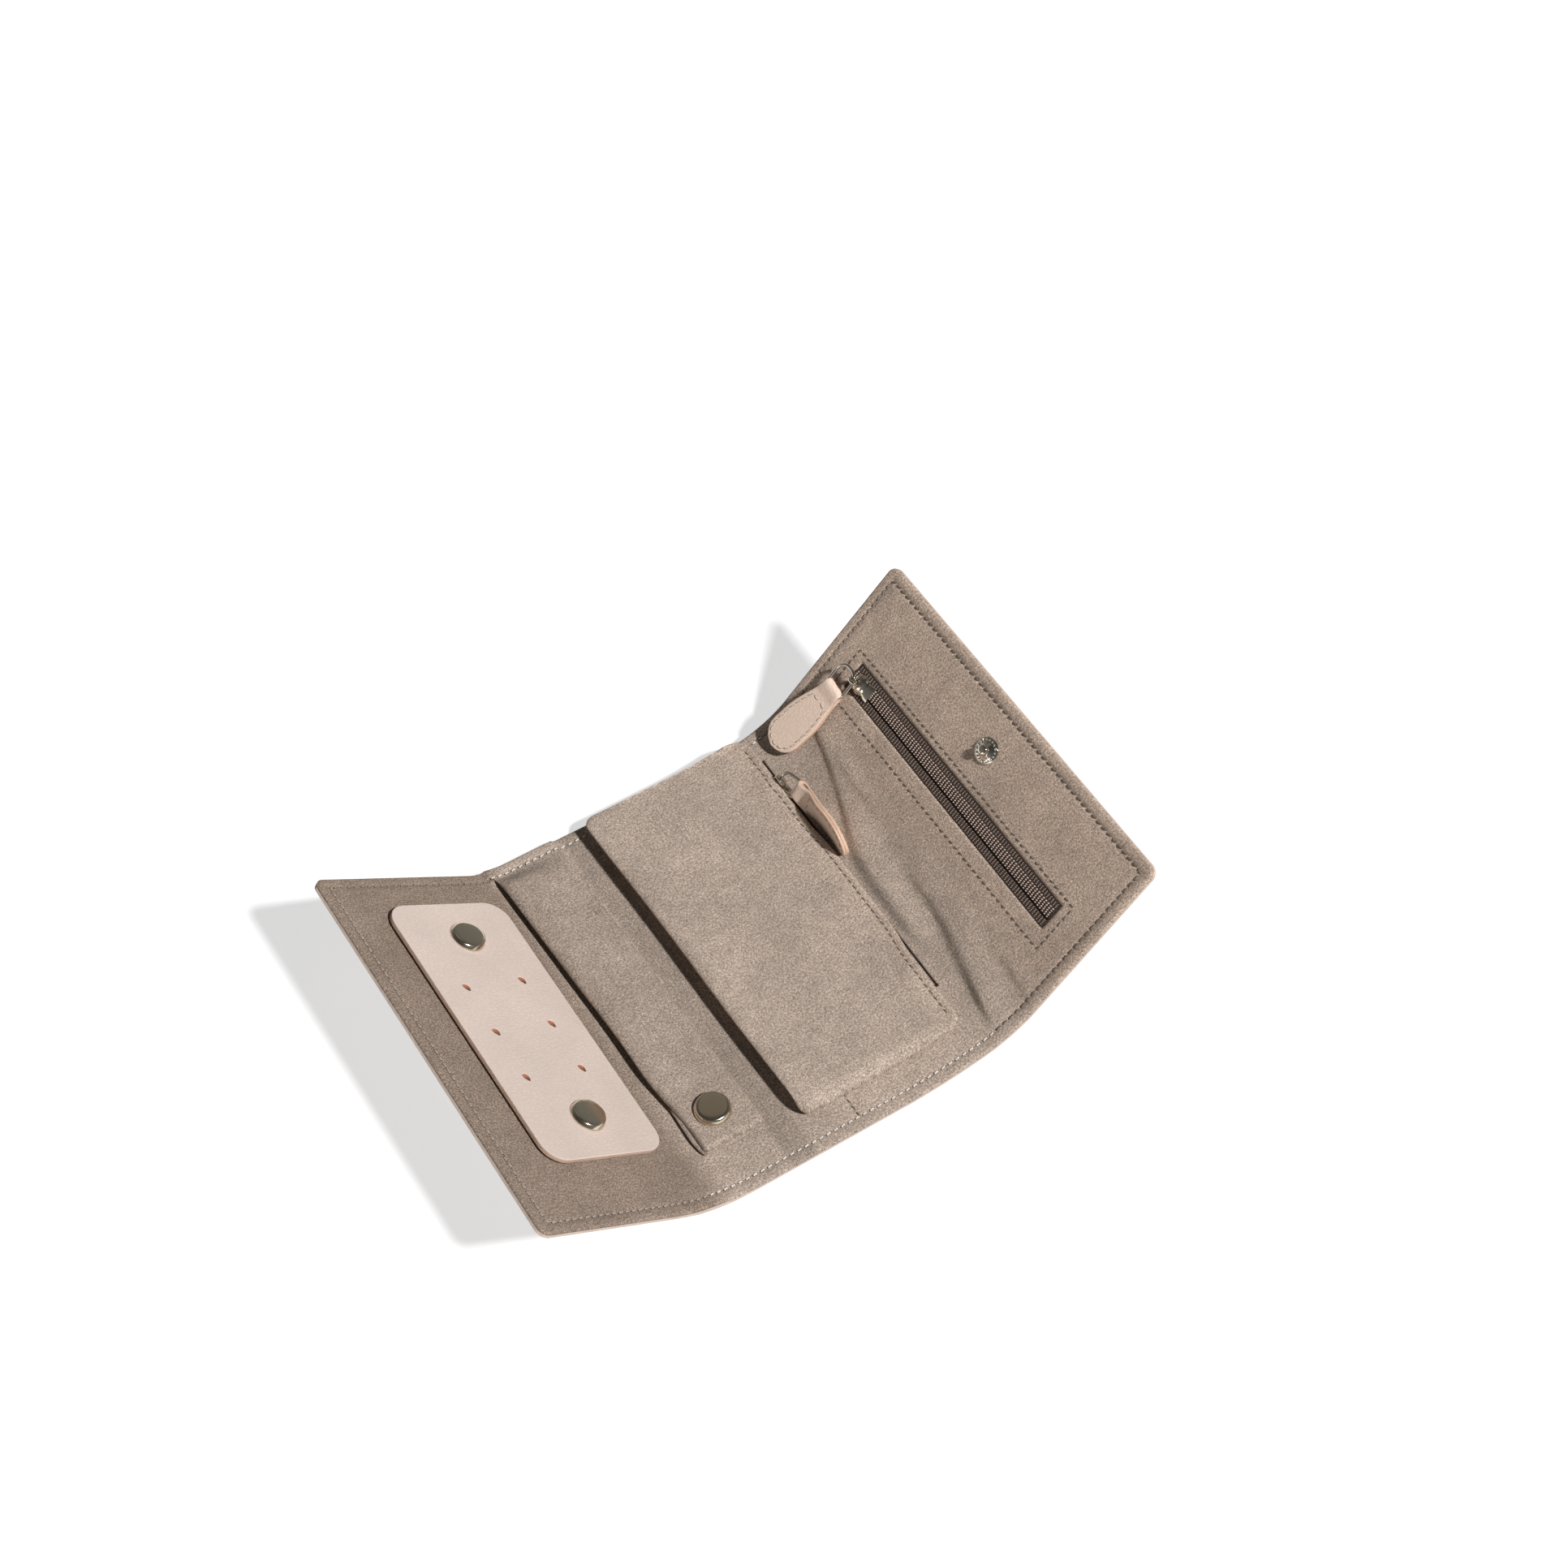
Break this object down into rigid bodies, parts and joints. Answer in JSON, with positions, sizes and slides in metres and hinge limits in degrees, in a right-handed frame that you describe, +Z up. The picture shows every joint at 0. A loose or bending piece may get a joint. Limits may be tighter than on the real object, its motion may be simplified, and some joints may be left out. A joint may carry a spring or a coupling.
{
  "type": "jewelry roll",
  "caption": "Tri-fold leather jewelry roll, open, with suede lining, snap-off earring plate, snap ring bar, zip pouch and zip pocket.",
  "frame": {"origin": "centre of the flat underside of the middle panel", "axes": "+X along the roll from the earring panel to the zip panel, +Y towards the far edge, +Z up"},
  "size_m": [0.226, 0.15, 0.0625],
  "materials": {
    "cover_leather": "smooth matte",
    "plate_leather": "smooth matte",
    "tab_leather": "smooth matte",
    "suede": "napped",
    "zip_tape": "woven",
    "zip_teeth": "satin",
    "nickel": "polished"
  },
  "bodies": {
    "middle": {"cover_middle": "cover_leather", "lining_middle": "suede", "ring_stud": "nickel", "pouch_front": "suede", "pouch_back": "suede", "pouch_tape_left": "zip_tape", "pouch_tape_right": "zip_tape", "pouch_chain_left": "zip_teeth", "pouch_chain_right": "zip_teeth", "pouch_stop_near": "nickel", "pouch_stop_far": "nickel"},
    "fold_left_1": {"cover_fold_left_1": "cover_leather", "lining_fold_left_1": "suede"},
    "fold_left_2": {"cover_fold_left_2": "cover_leather", "lining_fold_left_2": "suede"},
    "left_panel": {"cover_left": "cover_leather", "lining_left": "suede", "plate_stud_near": "nickel", "plate_stud_far": "nickel", "closure_socket": "nickel"},
    "plate": {"earring_plate": "plate_leather", "plate_cap_near": "nickel", "plate_cap_far": "nickel", "plate_socket_near": "nickel", "plate_socket_far": "nickel"},
    "ring_bar": {"ring_roll": "suede", "ring_cap": "nickel", "ring_socket": "nickel"},
    "fold_right_1": {"cover_fold_right_1": "cover_leather", "lining_fold_right_1": "suede"},
    "fold_right_2": {"cover_fold_right_2": "cover_leather", "lining_fold_right_2": "suede"},
    "right_panel": {"cover_right": "cover_leather", "lining_right": "suede", "pocket_tape_left": "zip_tape", "pocket_tape_right": "zip_tape", "pocket_chain_left": "zip_teeth", "pocket_chain_right": "zip_teeth", "pocket_stop_near": "nickel", "pocket_stop_far": "nickel", "closure_stud": "nickel", "closure_cap": "nickel"},
    "pocket_slider_body": {"pocket_slider": "nickel"},
    "pocket_pull": {"pocket_bail": "nickel", "pocket_tab": "tab_leather"},
    "pouch_slider_body": {"pouch_slider": "nickel"},
    "pouch_pull": {"pouch_bail": "nickel", "pouch_tab": "tab_leather"}
  },
  "joints": [
    {"name": "fold_left", "type": "hinge", "parent": "fold_left_2", "child": "left_panel", "pos_m": [-0.04236, 0, 0.00625], "axis": [0, 1, 0], "range_deg": [-12.17, 47.83]},
    {"name": "fold_left_root", "type": "hinge", "parent": "middle", "child": "fold_left_1", "pos_m": [-0.0319, 0, 0.0028], "axis": [0, 1, 0], "range_deg": [-12.17, 47.83]},
    {"name": "fold_left_mid", "type": "hinge", "parent": "fold_left_1", "child": "fold_left_2", "pos_m": [-0.03732, 0, 0.00397], "axis": [0, 1, 0], "range_deg": [-12.17, 47.83]},
    {"name": "fold_right", "type": "hinge", "parent": "fold_right_2", "child": "right_panel", "pos_m": [0.07985, 0, 0.01504], "axis": [0, -1, 0], "range_deg": [-15.33, 44.67], "deforming": ["pocket_tab", "pouch_tab"]},
    {"name": "fold_right_root", "type": "hinge", "parent": "middle", "child": "fold_right_1", "pos_m": [0.0679, 0, 0.00786], "axis": [0, -1, 0], "range_deg": [-15.33, 44.67]},
    {"name": "fold_right_mid", "type": "hinge", "parent": "fold_right_1", "child": "fold_right_2", "pos_m": [0.07419, 0, 0.01093], "axis": [0, -1, 0], "range_deg": [-15.33, 44.67]},
    {"name": "plate_lift", "type": "slide", "parent": "left_panel", "child": "plate", "axis": [-0.5948, 0, -0.8039], "range_m": [-0.03, 0]},
    {"name": "ring_bar_lift", "type": "hinge", "parent": "middle", "child": "ring_bar", "pos_m": [-0.0224, 0.071, 0.0049], "axis": [1, 0, 0], "range_deg": [-75, 0]},
    {"name": "pocket_zip", "type": "slide", "parent": "right_panel", "child": "pocket_slider_body", "axis": [0, 1, 0], "range_m": [-0.098, 0]},
    {"name": "pocket_pull_swing", "type": "hinge", "parent": "pocket_slider_body", "child": "pocket_pull", "pos_m": [0.0988, 0.05505, 0.03984], "axis": [-0.6947, 0, -0.7193], "range_deg": [-140, 0]},
    {"name": "pouch_zip", "type": "slide", "parent": "middle", "child": "pouch_slider_body", "axis": [0, 1, 0], "range_m": [-0.088, 0]},
    {"name": "pouch_pull_swing", "type": "hinge", "parent": "pouch_slider_body", "child": "pouch_pull", "pos_m": [0.06377, 0.0495, 0.01191], "axis": [0.9673, 0, 0.2537], "range_deg": [-105, 0]}
  ],
  "couplings": [
    {"joint": "fold_left_root", "follows": "fold_left", "ratio": 1},
    {"joint": "fold_left_mid", "follows": "fold_left", "ratio": 1},
    {"joint": "fold_right_root", "follows": "fold_right", "ratio": 1},
    {"joint": "fold_right_mid", "follows": "fold_right", "ratio": 1}
  ]
}
